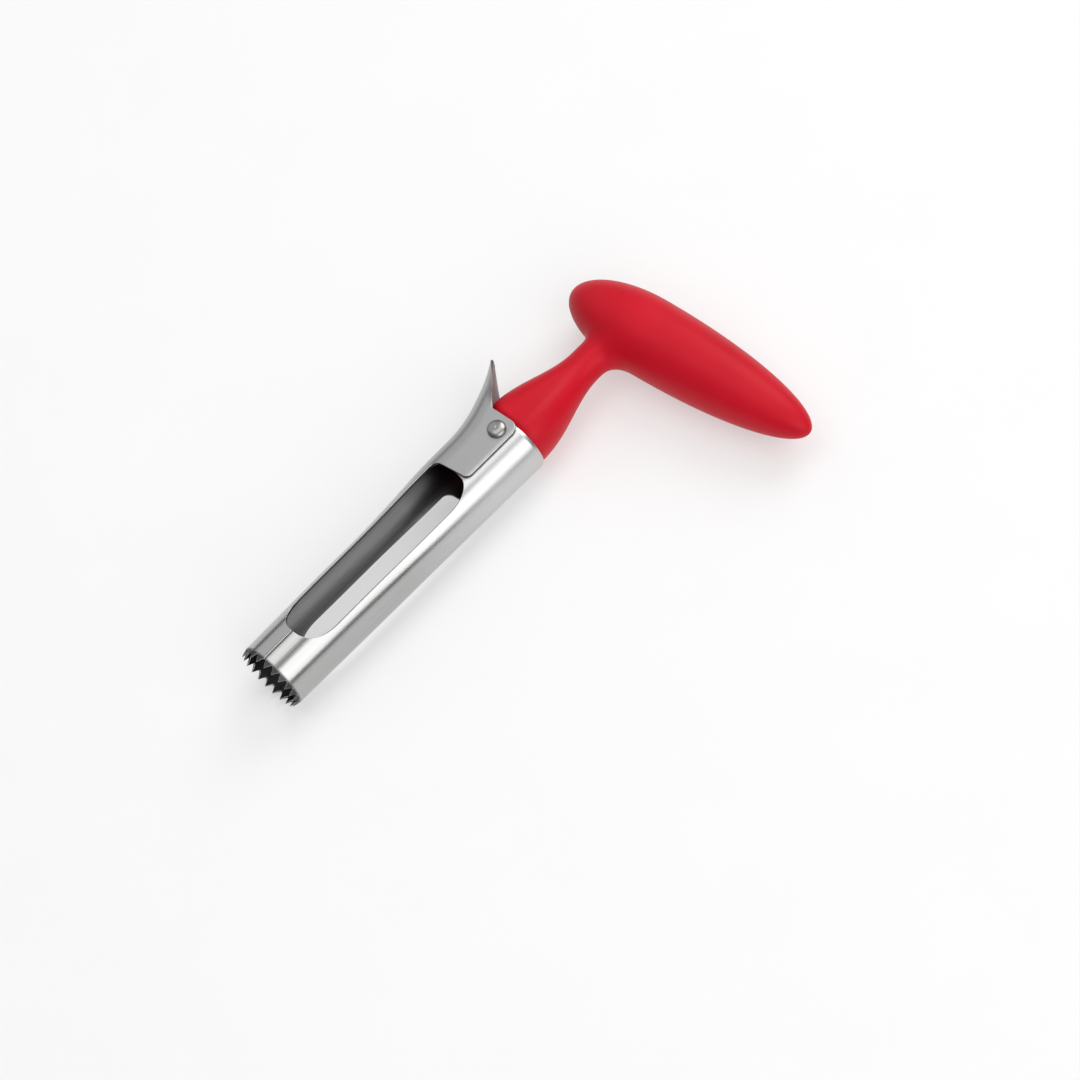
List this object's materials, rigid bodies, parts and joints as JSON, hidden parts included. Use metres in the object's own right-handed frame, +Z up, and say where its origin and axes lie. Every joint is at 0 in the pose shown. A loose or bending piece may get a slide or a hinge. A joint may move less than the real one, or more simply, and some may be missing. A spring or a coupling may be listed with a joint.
{
  "type": "apple corer",
  "caption": "Hand corer with a toothed steel barrel that swings open along its length on a rivet, a thumb lever and a T handle.",
  "frame": {"origin": "centre of the bottom of the box of the closed corer, as it lies on a table", "axes": "+X along the barrel from the teeth to the handle, +Y to the side of the thumb lever and the bar's short end, +Z up, along the rivet"},
  "size_m": [0.1744, 0.096, 0.0253],
  "materials": {
    "handle_red": "satin moulded plastic, fine and even",
    "barrel_steel": "stainless sheet, brushed along the barrel, bright cut edges",
    "rivet_steel": "turned stainless rivet, smooth domed head"
  },
  "bodies": {
    "handle_and_fixed_half": {"handle": "handle_red", "fixed_barrel_half": "barrel_steel", "hinge_rivet": "rivet_steel"},
    "moving_half": {"moving_barrel_half": "barrel_steel"}
  },
  "joints": [
    {"name": "barrel_opening", "type": "hinge", "parent": "handle_and_fixed_half", "child": "moving_half", "pos_m": [0.0165, 0.0232, 0.01265], "axis": [0, 0, -1], "range_deg": [0, 26]}
  ]
}
